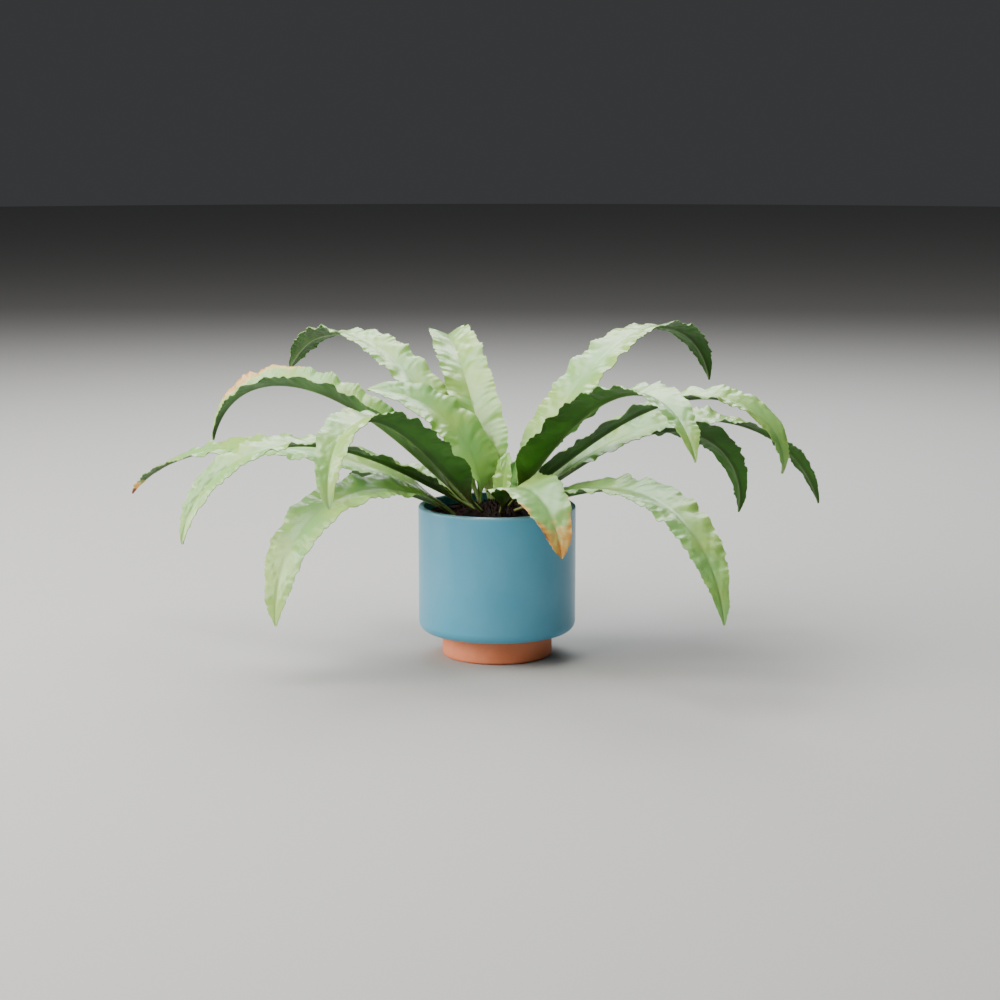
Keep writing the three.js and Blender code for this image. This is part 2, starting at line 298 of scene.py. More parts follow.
@dataclass(frozen=True)
class FernCuticle:
    """Living fern leaf with a waxy cuticle: glossy and pale above; duller below, in a darker green
    that is painted shade.
    """

    upper: str = "90c271"
    upper_warm: str = "a0c562"
    upper_deep: str = "6da54c"
    # The under colours are darker than the leaf's own green: painted shade on the under face.
    under: str = "43682c"
    under_deep: str = "334f20"
    midrib: str = "b1c68b"
    petiole: str = "6d4228"
    yellow: str = "dec678"
    orange: str = "dfa454"
    brown: str = "7a3f22"
    vein_mm: float = 2.3
    vein_slant: float = 0.55
    midrib_mm: float = 1.0
    patch_mm: float = 46.0
    mottle_mm: float = 17.0
    ragged_mm: float = 7.0
    smear_mm: float = 9.0
    crinkle_mm: float = 4.5
    crinkle_depth_mm: float = 0.2
    roughness_upper: float = 0.33
    roughness_under: float = 0.5
    gloss_upper: float = 0.65
    gloss_under: float = 0.2
    wax: float = 0.3
    wax_roughness: float = 0.3
    flesh: float = 0.3
    flesh_mm: float = 3.0
    flesh_reach: Triple = (0.6, 1.0, 0.35)

    def build(self) -> Material:
        """Builds the leaf from the blade's own attributes and its UV map in metres."""
        graph = Graph("waxy_fern_leaf")
        blade = graph.add("ShaderNodeUVMap", {"uv_map": "blade"}).outputs[0]
        under = graph.attribute("under")
        split = graph.add("ShaderNodeSeparateXYZ", None, {0: blade})
        along, across = split.outputs[0], graph.step("ABSOLUTE", split.outputs[1])

        # Above: pale green with warmer and deeper patches
        patches = graph.spread(graph.noise(self.patch_mm, 2.0), 0.38, 0.62)
        upper = graph.mix(patches, self.upper, self.upper_warm)
        depth = graph.step("MULTIPLY", graph.noise(self.mottle_mm, 4.0), 0.5)
        # A frond's tone deepens its green all over: small tones vary the fronds, and a high one is
        # painted shade.
        depth = graph.step("ADD", depth, graph.attribute("tone_and_shade"))
        upper = graph.mix(graph.spread(depth, 0.3, 0.95), upper, self.upper_deep)

        # Side veins: fine parallel lines that slant from the midrib towards the margin
        slanted = graph.step("MULTIPLY_ADD", across, -self.vein_slant, along)
        line = graph.step("PINGPONG", slanted, 0.5 * self.vein_mm * MM)
        vein = graph.spread(line, 0, 0.3 * self.vein_mm * MM, 1, 0)
        upper = graph.mix(graph.step("MULTIPLY", vein, 0.06), upper, self.midrib)
        rib = graph.spread(across, 0.3 * self.midrib_mm * MM, self.midrib_mm * MM, 0.8, 0)
        upper = graph.mix(graph.step("MULTIPLY", rib, 0.35), upper, self.midrib)

        # Below: duller, in a darker green that is painted shade, with the midrib's pale keel
        shaded_lower = graph.mix(patches, self.under, self.under_deep)
        shaded_lower = graph.mix(graph.step("MULTIPLY", rib, 0.2), shaded_lower, self.midrib)
        base = graph.mix(under, upper, shaded_lower)

        # The stalk reddens where it leaves the crown
        flush = graph.spread(depth, 0.1, 0.5, 0.25, 0.75)
        flush = graph.step("MULTIPLY", graph.attribute("stalk"), flush)
        base = graph.mix(flush, base, self.petiole)

        # Withered margins and tips pass from yellow through orange to brown
        ragged = graph.step("MULTIPLY_ADD", graph.noise(self.ragged_mm, 6.0), 0.9, -0.45)
        ragged = graph.step("ADD", ragged, graph.attribute("wither"))
        base = graph.mix(graph.spread(ragged, 0.3, 0.5, 0, 0.9), base, self.yellow)
        base = graph.mix(graph.spread(ragged, 0.46, 0.72), base, self.orange)
        base = graph.mix(graph.spread(ragged, 0.8, 1.05), base, self.brown)

        # Wax above gives a whitish sheen, and light through the flesh greens the shaded side
        rough = graph.spread(under, 0, 1, self.roughness_upper, self.roughness_under)
        smears = graph.step("MULTIPLY_ADD", graph.noise(self.smear_mm), 0.16, -0.08)
        relief = graph.step("MULTIPLY_ADD", vein, 0.35, graph.noise(self.crinkle_mm, 4.0))
        return graph.finish({
            "Base Color": base,
            "Normal": graph.bump(relief, self.crinkle_depth_mm, 0.6),
            "Roughness": graph.step("ADD", rough, smears),
            "Specular IOR Level": graph.spread(under, 0, 1, self.gloss_upper, self.gloss_under),
            "Coat Weight": graph.spread(under, 0, 1, self.wax, 0),
            "Coat Roughness": self.wax_roughness,
            "Subsurface Weight": self.flesh,
            "Subsurface Radius": self.flesh_reach,
            "Subsurface Scale": self.flesh_mm * MM,
        })

@dataclass(frozen=True)
class PaperSweep:
    """Matt paper floor of a studio: pale, even, without gloss."""

    tint: str = "b9b8b5"
    fleck: str = "ffffff"
    roughness: float = 0.95
    fibre_mm: float = 2.0

    def build(self) -> Material:
        """Builds the paper."""
        graph = Graph("matt_paper")
        fibre = graph.spread(graph.noise(self.fibre_mm), 0.3, 0.7, 0, 0.04)
        base = graph.mix(fibre, self.tint, self.fleck)
        return graph.finish({"Base Color": base, "Roughness": self.roughness})


# Modelling helpers


def deselect_all() -> None:
    """Leaves edit mode and deselects every object."""
    if bpy.context.object and bpy.context.object.mode != "OBJECT":
        bpy.ops.object.mode_set(mode="OBJECT")
    bpy.ops.object.select_all(action="DESELECT")


def finish_piece(
    piece: Piece, name: str, node: str, material: Material
) -> None:
    """Names, dresses and places a piece in the frame.

    Args:
        piece: the finished mesh object.
        name: the piece's name.
        node: the CAD node that it stands for.
        material: its finish.
    """
    piece.name = name
    piece.data.name = name
    piece.data.materials.clear()
    piece.data.materials.append(material)
    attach(piece, "root")
    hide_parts(node)
    piece.data.calc_loop_triangles()
    log.info("%s: %d triangles", name, len(piece.data.loop_triangles))


def smooth(piece: Piece, degrees: float) -> None:
    """Shades a piece smooth.

    Args:
        piece: the mesh object.
        degrees: the angle from which an edge stays sharp.
    """
    deselect_all()
    piece.select_set(True)
    bpy.context.view_layer.objects.active = piece
    bpy.ops.object.shade_smooth_by_angle(angle=math.radians(degrees))


def get_points(piece: Piece) -> Array:
    """Returns the piece's points as rows of x, y, z."""
    points = np.empty(len(piece.data.vertices) * 3)
    piece.data.vertices.foreach_get("co", points)
    return points.reshape(-1, 3)


def set_points(piece: Piece, points: Array) -> None:
    """Writes the piece's points back."""
    piece.data.vertices.foreach_set("co", points.astype(np.float32).ravel())
    piece.data.update()


@dataclass
class TurnedForm:
    """A round form raised ring by ring from a circle, as on a wheel. Sizes in millimetres."""

    sides: int
    rings: list[tuple[float, float]]
    closed_floor: bool = True
    bevels: list[tuple[float, float, float, int]] = field(default_factory=list)

    def build(self) -> Piece:
        """Extrudes the rings, rounds the named corners and closes the form.

        Returns:
            The new object, unnamed, with its faces outward.
        """
        deselect_all()
        radius, height = self.rings[0]
        bpy.ops.mesh.primitive_circle_add(
            vertices=self.sides,
            radius=radius * MM,
            fill_type="NGON" if self.closed_floor else "NOTHING",
            location=(0, 0, height * MM),
        )
        piece = bpy.context.object
        bpy.ops.object.transform_apply(location=True)
        bpy.ops.object.mode_set(mode="EDIT")
        bpy.ops.mesh.select_all(action="SELECT")
        for (r0, z0), (r1, z1) in zip(self.rings, self.rings[1:]):
            lift = (0, 0, (z1 - z0) * MM)
            bpy.ops.mesh.extrude_region_move(TRANSFORM_OT_translate={"value": lift})
            share = r1 / r0
            bpy.ops.transform.resize(value=(share, share, 1), center_override=(0, 0, z1 * MM))
        bpy.ops.mesh.select_all(action="SELECT")
        bpy.ops.mesh.remove_doubles(threshold=0.01 * MM)
        bpy.ops.mesh.normals_make_consistent(inside=False)
        for r, z, reach, steps in self.bevels:
            self._bevel(piece, r * MM, z * MM, reach * MM, steps)
        bpy.ops.object.mode_set(mode="OBJECT")
        return piece

    @staticmethod
    def _bevel(
        piece: Piece, radius: float, height: float, reach: float, steps: int
    ) -> None:
        """Rounds one ring of edges.

        Args:
            piece: the form, in edit mode.
            radius: the ring's radius, in metres.
            height: its height, in metres.
            reach: how far the rounding reaches from the edge, in metres.
            steps: its number of steps.
        """
        bpy.ops.mesh.select_all(action="DESELECT")
        bpy.ops.object.mode_set(mode="OBJECT")
        near = 0.05 * MM
        points = get_points(piece)
        on_ring = np.abs(np.hypot(points[:, 0], points[:, 1]) - radius) < near
        on_ring &= np.abs(points[:, 2] - height) < near
        for edge in piece.data.edges:
            edge.select = bool(on_ring[edge.vertices[0]] and on_ring[edge.vertices[1]])
        bpy.ops.object.mode_set(mode="EDIT")
        bpy.ops.mesh.select_mode(type="EDGE")
        bpy.ops.mesh.bevel(offset=reach, segments=steps, profile=0.5, affect="EDGES")


def scatter(name: str, template: Piece, places: Iterable[Matrix]) -> Piece:
    """Copies a small shape to many places in one mesh and removes the original.

    Args:
        name: the new object's name.
        template: the shape, modelled once at the origin.
        places: one matrix for each copy.

    Returns:
        The new object, at the origin.
    """
    points = get_points(template)
    faces = [tuple(polygon.vertices) for polygon in template.data.polygons]
    all_points: list[tuple[float, ...]] = []
    all_faces: list[tuple[int, ...]] = []
    for place in places:
        base = len(all_points)
        turned = points @ np.array(place.to_3x3()).T + np.array(place.translation)
        all_points.extend(map(tuple, turned))
        all_faces.extend(tuple(base + i for i in face) for face in faces)
    mesh = bpy.data.meshes.new(name)
    mesh.from_pydata(all_points, [], all_faces)
    piece = bpy.data.objects.new(name, mesh)
    bpy.context.scene.collection.objects.link(piece)
    bpy.data.objects.remove(template)
    return piece


def join_into(piece: Piece, *others: Piece) -> None:
    """Joins other objects into a piece."""
    deselect_all()
    for other in others:
        other.select_set(True)
    piece.select_set(True)
    bpy.context.view_layer.objects.active = piece
    bpy.ops.object.join()


# The pot and what it stands in


@dataclass
class Pot:
    """The glazed pot, with its foot ring, drainage hole and rounded corners."""

    wall: float = 5.0
    corner: float = 9.0
    inner_corner: float = 6.0
    lip: float = 2.0
    inner_lip: float = 1.2
    floor: float = 6.0
    foot_radius: float = 43.0
    foot_wall: float = 5.0
    foot_edge: float = 1.0
    drain_radius: float = 7.0
    clearance: float = 0.3
    sides: int = 144

    def build(self) -> None:
        """Turns the pot to the size of its CAD node."""
        low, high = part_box("pot")
        radius = high.x / MM
        top = high.z / MM
        foot = low.z / MM
        saucer_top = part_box("saucer")[1].z / MM
        base = saucer_top + self.clearance
        inner = radius - self.wall
        floor_top = base + self.floor
        foot_inner = self.foot_radius - self.foot_wall
        form = TurnedForm(
            sides=self.sides,
            closed_floor=False,
            rings=[
                (self.drain_radius, base), (foot_inner, base), (foot_inner, foot),
                (self.foot_radius, foot), (self.foot_radius, base), (radius, base),
                (radius, top), (inner, top), (inner, floor_top),
                (self.drain_radius, floor_top), (self.drain_radius, base),
            ],
            bevels=[
                (radius, base, self.corner, 12), (radius, top, self.lip, 6),
                (inner, top, self.inner_lip, 4), (self.foot_radius, foot, self.foot_edge, 2),
                (inner, floor_top, self.inner_corner, 4),
            ],
        )
        piece = form.build()
        smooth(piece, 35)
        finish_piece(piece, "glazed_pot", "pot", SatinGlaze().build(high.z))


@dataclass
class Saucer:
    """The terracotta saucer: flat underside, rounded lower edge, eased lip."""

    wall: float = 4.0
    floor: float = 5.0
    corner: float = 3.0
    lip: float = 1.0
    inner_lip: float = 0.8
    sides: int = 128

    def build(self) -> None:
        """Turns the saucer to the size of its CAD node."""
        _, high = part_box("saucer")
        radius = high.x / MM
        top = high.z / MM
        inner = radius - self.wall
        form = TurnedForm(
            sides=self.sides,
            rings=[(radius, 0.0), (radius, top), (inner, top), (inner, self.floor)],
            bevels=[
                (radius, 0.0, self.corner, 8), (radius, top, self.lip, 3),
                (inner, top, self.inner_lip, 2),
            ],
        )
        piece = form.build()
        smooth(piece, 35)
        finish_piece(piece, "terracotta_saucer", "saucer", FiredTerracotta().build())


@dataclass
class Soil:
    """The soil: an uneven crumbly top with loose crumbs and bark chips on it."""

    sides: int = 96
    top_rings: int = 26
    corner: float = 6.0
    sunk: float = 0.6
    crumbs: int = 620
    crumb_size: float = 1.5
    chips: int = 70
    chip_size: float = 1.4
    bump_height: float = 0.55
    bump_band: float = 1.2
    plain_edge: float = 1.0
    edge_gap: float = 2.5
    bedded: float = 0.3
    seed: int = 11

    def build(self) -> None:
        """Turns the soil to the size of its CAD node and covers it with crumbs."""
        low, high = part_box("soil")
        radius = high.x / MM
        top = high.z / MM
        bottom = low.z / MM
        rings = [(radius - self.corner, bottom), (radius, bottom + self.corner)]
        rings.append((radius, top - self.sunk))
        for i in range(self.top_rings):
            rings.append((radius * (1 - (i + 1) / (self.top_rings + 1)), top - self.sunk))
        piece = TurnedForm(sides=self.sides, rings=rings).build()
        self._roughen(piece, high.z, radius * MM)
        draw = Draw(self.seed)
        crumbs = self._crumbs(draw, radius, top)
        chips = self._chips(draw, radius, top)
        join_into(piece, crumbs, chips)
        smooth(piece, 30)
        finish_piece(piece, "potting_soil", "soil", PottingSoil().build())

    def _roughen(self, piece: Piece, top: float, radius: float) -> None:
        """Lifts and lowers the top's points by a few waves of different length."""
        points = get_points(piece)
        x, y = points[:, 0] / MM, points[:, 1] / MM
        bumps = np.sin(x / 7.1 + 1.3) * np.cos(y / 6.3) + 0.6 * np.sin(x / 2.9 - y / 3.7)
        bumps += 0.5 * np.sin(x / 1.7 + y / 1.3 + 2.0)
        reach = np.hypot(points[:, 0], points[:, 1])
        on_top = points[:, 2] > top - self.bump_band * MM
        on_top &= reach < radius - self.plain_edge * MM
        points[on_top, 2] += self.bump_height * MM * bumps[on_top]
        set_points(piece, points)

    def _places(
        self, draw: Draw, count: int, radius: float, top: float, size: float
    ) -> list[Matrix]:
        """Draws places for loose bits that rest on the soil's top.

        Args:
            draw: the random draws.
            count: how many places.
            radius: the soil's radius, in millimetres.
            top: the height of its top, in millimetres.
            size: half a bit's length, in millimetres.

        Returns:
            One matrix for each place.
        """
        places = []
        for _ in range(count):
            r = (radius - self.edge_gap) * math.sqrt(draw.uniform(0.1, 1))
            angle = draw.uniform(0, 2 * math.pi)
            spot = Vector((r * math.cos(angle), r * math.sin(angle), top - self.bedded)) * MM
            turn = Matrix.Rotation(draw.uniform(0, 6.3), 4, "Z")
            turn @= Matrix.Rotation(draw.uniform(-0.5, 0.5), 4, "X")
            scale = size * MM * draw.uniform(0.5, 1.3)
            stretch = Matrix.Diagonal((scale, scale * draw.uniform(0.6, 1), scale * 0.7, 1))
            places.append(Matrix.Translation(spot) @ turn @ stretch)
        return places

    def _crumbs(self, draw: Draw, radius: float, top: float) -> Piece:
        """Models one angular crumb and scatters it."""
        deselect_all()
        bpy.ops.mesh.primitive_ico_sphere_add(subdivisions=1, radius=1)
        crumb = bpy.context.object
        points = get_points(crumb)
        points *= draw.uniform(0.75, 1.2, (len(points), 1))
        set_points(crumb, points)
        places = self._places(draw, self.crumbs, radius, top, self.crumb_size)
        return scatter("crumbs", crumb, places)

    def _chips(self, draw: Draw, radius: float, top: float) -> Piece:
        """Models one bark chip, a flake with broken ends, and scatters it."""
        deselect_all()
        bpy.ops.mesh.primitive_cube_add(size=2)
        chip = bpy.context.object
        chip.scale = (2.2, 1.1, 0.4)
        bpy.ops.object.transform_apply(scale=True)
        bpy.ops.object.mode_set(mode="EDIT")
        bpy.ops.mesh.select_all(action="SELECT")
        bpy.ops.mesh.bevel(offset=0.25, segments=1, affect="EDGES")
        bpy.ops.object.mode_set(mode="OBJECT")
        points = get_points(chip)
        points[:, 0] += 0.35 * np.sin(3.1 * points[:, 1])
        set_points(chip, points)
        places = self._places(draw, self.chips, radius, top, self.chip_size)
        return scatter("chips", chip, places)


# The fern


def smoothstep(value: Array, low: float, high: float) -> Array:
    """Eases a value from nought to one between two limits."""
    share = np.clip((value - low) / (high - low), 0, 1)
    return share * share * (3 - 2 * share)


def ripple(turns: Array) -> Array:
    """A sine wave over whole turns."""
    return np.sin(2 * np.pi * turns)


@dataclass(frozen=True)
class Ageing:
    """How far a frond has withered, each from nought to one, and where along its length.

    The margins wither between the shares start and until, and the tip from the share tip_from.
    """

    tip: float = 0.0
    tip_from: float = 0.72
    left: float = 0.0
    right: float = 0.0
    start: float = 0.4
    until: float = 1.2


@dataclass
class Crown:
    """The crown that the fronds grow out of: a dome under overlapping papery scales."""

    radius: float = 30.0
    height: float = 12.0
    plug_radius: float = 23.5
    clearance: float = 0.3
    sides: int = 64
    rings: int = 14
    scales: int = 520
    scale_bed: float = 0.8
    scale_sunk: float = 1.6
    scale_lean: float = 62.0
    scale_sway: float = 14.0
    scale_flat: float = 0.22
    scale_curl: float = 0.5
    scale_lift: float = 1.2
    seed: int = 5

    @property
    def base(self) -> float:
        """Height of the dome's foot, in millimetres, just above the soil."""
        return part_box("soil")[1].z / MM + self.clearance

    def top_at(self, r: float) -> float:
        """Height of the dome at a distance from its axis, in millimetres."""
        return self.base + self.height * (1 - (r / self.radius) ** 2)

    def surface_at(self, r: float) -> float:
        """Height that a frond's root leaves from: the dome's top, or the soil's beside it."""
        return self.top_at(r) if r < self.radius else self.base - self.clearance

    def build(self) -> None:
        """Turns the dome and lays the scales on it like tiles, from the foot up."""
        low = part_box("crown")[0].z / MM
        plug = self.plug_radius
        rings = [(plug, low), (plug, self.base), (self.radius, self.base)]
        for i in range(1, self.rings + 1):
            r = self.radius * (1 - i / (self.rings + 1))
            rings.append((r, self.top_at(r) - self.scale_bed))
        piece = TurnedForm(sides=self.sides, rings=rings).build()
        join_into(piece, self._scales())
        smooth(piece, 40)
        finish_piece(piece, "fern_crown", "crown", RhizomeScale().build())

    def _scales(self) -> Piece:
        """Models one pointed, keeled scale and lays it all over the dome."""
        deselect_all()
        bpy.ops.mesh.primitive_cone_add(vertices=5, radius1=1, radius2=0, depth=4)
        scale = bpy.context.object
        points = get_points(scale)
        points[:, 1] *= self.scale_flat
        share = (points[:, 2] + 2) / 4
        points[:, 1] += self.scale_curl * share**2
        points[:, 2] += self.scale_lift
        set_points(scale, points)
        draw = Draw(self.seed)
        places = []
        for i in range(self.scales):
            r = (self.radius - 1) * math.sqrt(1 - (i + 0.5) / self.scales)
            angle = i * GOLDEN_ANGLE + draw.uniform(-0.2, 0.2)
            height = self.top_at(r) - self.scale_sunk
            spot = Vector((r * math.cos(angle), r * math.sin(angle), height)) * MM
            sway = draw.uniform(-self.scale_sway, self.scale_sway)
            lean = math.radians(self.scale_lean * r / self.radius + sway)
            turn = Matrix.Rotation(angle - math.pi / 2, 4, "Z")
            turn @= Matrix.Rotation(-lean, 4, "X")
            size = MM * draw.uniform(0.8, 1.35)
            places.append(Matrix.Translation(spot) @ turn @ Matrix.Scale(size, 4))
        return scatter("scales", scale, places)


@dataclass
class Frond:
    """One waved strap frond. Angles in degrees, lengths in millimetres.

    It is rooted on the crown, or in the soil beside it, at the angle seat and the distance root
    from the axis, and leaves it at an azimuth. Along its length it turns by sweep, and its slope
    passes from rise to droop, late where bend is high. A positive roll turns its face to its left,
    twist adds to that towards the tip, and fold is how far each half is raised beside the midrib,
    which is CHANNEL times as much at its root. It reaches its full width at the share widest. A
    high tone is a deeper green.
    """

    name: str
    azimuth: float
    sweep: float
    rise: float
    droop: float
    bend: float
    length: float
    width: float
    seat: float
    roll: float = 0
    twist: float = 0
    fold: float = 20
    root: float = 22
    widest: float = 0.2
    # Small tones vary the fronds at random; a high tone is painted shade.
    tone_and_shade: float = 0.0
    ageing: Ageing = Ageing()
    number: int = 0

    STALK_HALF_WIDTH = 2.2
    STALK_CREST = 1.0
    STALK_DEPTH = 3.2
    STALK_MARGIN = 1.2
    SUNK_IN_CROWN = 8.0
    SUNK_IN_SOIL = 14.0
    MARGIN = 0.7
    MIDRIB = 1.7
    CHANNEL = 2.5
    CHANNEL_MOST = 50.0
    OPEN_SHARE = 0.3
    ROLLED_SHARE = 0.3
    TWIST_FROM = 0.45
    BLADE_FROM = 0.03
    FLAT_FROM = 0.04
    FLAT_FULL = 0.16
    TIP_POWER = 4.5
    TIP_HALF_WIDTH = 0.7
    WAVE_LENGTH = 27.0
    WAVE_HEIGHT = 2.0
    WAVE_OUTWARD = 0.25
    WAVE_FROM = 0.08
    WAVE_FULL = 0.35
    FRILLS = (14.5, 8.3)
    FRILL_DRIFT = 53.0
    FRILL_BEAT = 71.0
    TEETH = ((17.0, 2.6, 8), (6.7, 1.7, 6), (3.4, 0.7, 10))
    TOOTH_CREST = 0.82
    PUCKER_LENGTHS = (33.0, 14.0, 6.3)
    CREASE_LENGTHS = (47.0, 29.0)
    PUCKER_DRIFT = 61.0
    PUCKER_CALM = 97.0
    RIB_REACH = 1.6
    GROOVE_REACH = 0.9
    GROOVE_DEPTH = 0.35
    BELLY = 0.06
    STALK_FLUSH = (0.02, 0.14)
    MARGIN_WITHER_MOST = 0.72
    WITHER_IN = 0.2
    WITHER_OUT = 0.1
    STEP = 0.825
    LEAST_STEPS = 90
    ACROSS = 18
    FLAT_WALL = 0.1
    MIDRIB_STEPS = 1200

    def chance(self, use: float) -> float:
        """Returns a repeatable number from nought to one for a use."""
        value = 43758.5453 * math.sin((self.number + 1) * 12.9898 + use * 78.233)
        return value - math.floor(value)

    def build(self, crown: Crown, material: Material) -> None:
        """Models the blade from a flat grid and dresses it.

        Args:
            crown: the crown that it is rooted on or beside.
            material: the leaf's finish.
        """
        deselect_all()
        steps = max(self.LEAST_STEPS, int(self.length / self.STEP))
        bpy.ops.mesh.primitive_grid_add(
            x_subdivisions=self.ACROSS, y_subdivisions=steps, size=1, calc_uvs=True
        )
        piece = bpy.context.object
        wall = piece.modifiers.new("wall", "SOLIDIFY")
        wall.thickness = self.FLAT_WALL
        wall.offset = -1
        bpy.ops.object.modifier_apply(modifier=wall.name)
        flat = get_points(piece)
        across = -2 * flat[:, 0]
        share = flat[:, 1] + 0.5
        under = flat[:, 2] < -self.FLAT_WALL / 2
        on_crown = self.root < crown.radius
        sunk = (self.SUNK_IN_CROWN if on_crown else self.SUNK_IN_SOIL) / self.length
        share = share * (1 + sunk) - sunk
        set_points(piece, self._surface(crown, across, share, under) * MM)
        self._mark(piece, across, share, under)
        smooth(piece, 55)
        finish_piece(piece, "leaf_" + self.name, "frond_" + self.name, material)

    def _directions(self, share: Array) -> tuple[Array, Array, Array]:
        """Finds the blade's own directions.

        Args:
            share: places along it, nought at its root and one at the tip.

        Returns:
            The directions along the midrib, to its left, and up from its face.
        """
        inside = np.clip(share, 0, 1)
        slope = np.radians(self.rise + (self.droop - self.rise) * inside**self.bend)
        heading = np.radians(self.azimuth + self.sweep * inside)
        cos_slope, nought = np.cos(slope), np.zeros_like(slope)
        tangent = np.stack(
            [cos_slope * np.cos(heading), cos_slope * np.sin(heading), np.sin(slope)], 1
        )
        left = np.stack([-np.sin(heading), np.cos(heading), nought], 1)
        up = np.cross(tangent, left)
        roll = self.roll * smoothstep(inside, 0, self.ROLLED_SHARE)
        roll += self.twist * smoothstep(inside, self.TWIST_FROM, 1)
        cos_roll = np.cos(np.radians(roll))[:, None]
        sin_roll = np.sin(np.radians(roll))[:, None]
        return tangent, left * cos_roll - up * sin_roll, up * cos_roll + left * sin_roll

    def _midrib(self, crown: Crown, share: Array) -> Array:
        """Follows the midrib.

        Args:
            crown: the crown that it is rooted on or beside.
            share: places along it; below nought they lie in the stalk's hole.

        Returns:
            Its points, in millimetres.
        """
        fine = self.MIDRIB_STEPS
        middle = (np.arange(fine) + 0.5) / fine
        steps = self._directions(middle)[0] * self.length / fine
        path = np.vstack([np.zeros(3), np.cumsum(steps, 0)])
        knots = np.arange(fine + 1) / fine
        seat = math.radians(self.seat)
        root = np.array([math.cos(seat), math.sin(seat), 0]) * self.root
        root[2] = crown.surface_at(self.root)
        points = np.stack([np.interp(share, knots, path[:, i]) for i in range(3)], 1)
        before = np.minimum(share, 0)[:, None] * self.length
        return root + points + before * self._directions(np.zeros(1))[0]

    def _half_width(self, share: Array) -> Array:
        """Returns half the blade's width at the given shares."""
        blade = smoothstep(share, self.BLADE_FROM, self.widest) * (1 - share**self.TIP_POWER)
        stalk = self.STALK_HALF_WIDTH + (self.TIP_HALF_WIDTH - self.STALK_HALF_WIDTH) * share
        return stalk + (self.width / 2 - self.STALK_HALF_WIDTH) * blade

    def _wave(self, share: Array, side: Side) -> Array:
        """Returns how far a margin is waved up or down by its long waves."""
        turns = round(self.length / self.WAVE_LENGTH)
        use = side.value
        grown = smoothstep(share, self.WAVE_FROM, self.WAVE_FULL) * (1 - share**self.TIP_POWER)
        beat = 0.8 + 0.45 * ripple(3.7 * share + self.chance(use))
        drift = 0.14 * ripple(2.3 * share + self.chance(use + 4))
        phase = self.chance(use + 2) + drift
        return grown * beat * self.WAVE_HEIGHT * ripple(turns * share + phase)

    def _frill(self, share: Array, side: Side) -> Array:
        """Returns how far a margin is frilled by uneven short waves between the long ones."""
        along = share * self.length
        use = side.value
        uneven = 0.45 * ripple(along / self.FRILL_DRIFT + self.chance(use + 20))
        long, short = self.FRILLS
        first = ripple(along / long + uneven + self.chance(use + 22))
        second = ripple(along / short - 1.4 * uneven + self.chance(use + 24))
        grown = smoothstep(share, 0.05, 0.16) * smoothstep(1 - share, 0, 0.15)
        beat = 0.6 + 0.4 * ripple(along / self.FRILL_BEAT + self.chance(use + 26))
        return grown * beat * (0.85 * first + 0.45 * second)

    def _teeth(self, share: Array, side: Side) -> Array:
        """Returns how far a margin's lobes and fine teeth stand out, each leaning to the tip.

        TEETH gives each size's pitch, its height and the number that its own chances start from.
        """
        along = share * self.length
        out = np.zeros_like(share)
        crest = self.TOOTH_CREST
        for pitch, height, use in self.TEETH:
            place = along / pitch + 7 * self.chance(side.value + use)
            place += 0.6 * ripple(place / 4.3 + self.chance(side.value + use + 30))
            index = np.floor(place)
            rise = place - index
            keen = np.abs(np.sin(index * 12.9898 + side.value * 4.1 + use)) * 0.85 + 0.15
            fall = (rise > crest) * (rise - crest) / (1 - crest)
            out += height * keen * (rise**1.4 - fall * rise)
        return out * smoothstep(share, 0.06, 0.2) * smoothstep(1 - share, 0.0, 0.06)

    def _puckers(self, share: Array, across: Array) -> Array:
        """Returns the shallow uneven puckers and creases between the midrib and the margins."""
        reach = np.abs(across)
        along = share * self.length - 0.35 * reach * self._half_width(share)
        side = np.where(across > 0, 0.0, 0.37)
        wander = 0.5 * ripple(along / self.PUCKER_DRIFT + self.chance(11))
        wander += 0.2 * ripple(reach / 1.7 + side)
        broad_length, swell_length, fine_length = self.PUCKER_LENGTHS
        broad = ripple(along / broad_length + side + wander + self.chance(14))
        swell = ripple(along / swell_length + 2 * side + 1.3 * wander)
        fine = ripple(along / fine_length + 3 * side + 1.7 * wander + self.chance(12))
        body = reach**0.8 * (1.15 - reach**4)
        grown = smoothstep(share, 0.06, 0.2) * smoothstep(1 - share, 0, 0.2)
        calm = 0.6 + 0.6 * ripple(along / self.PUCKER_CALM + side + self.chance(13))
        outward, inward = self.CREASE_LENGTHS
        crease = np.abs(ripple(along / outward + 0.8 * reach + side + self.chance(16)))
        crease += 0.6 * np.abs(ripple(along / inward - 0.9 * reach + self.chance(17)))
        uneven = 0.55 * broad + 0.9 * crease + calm * (0.26 * swell + 0.14 * fine)
        return grown * body * uneven

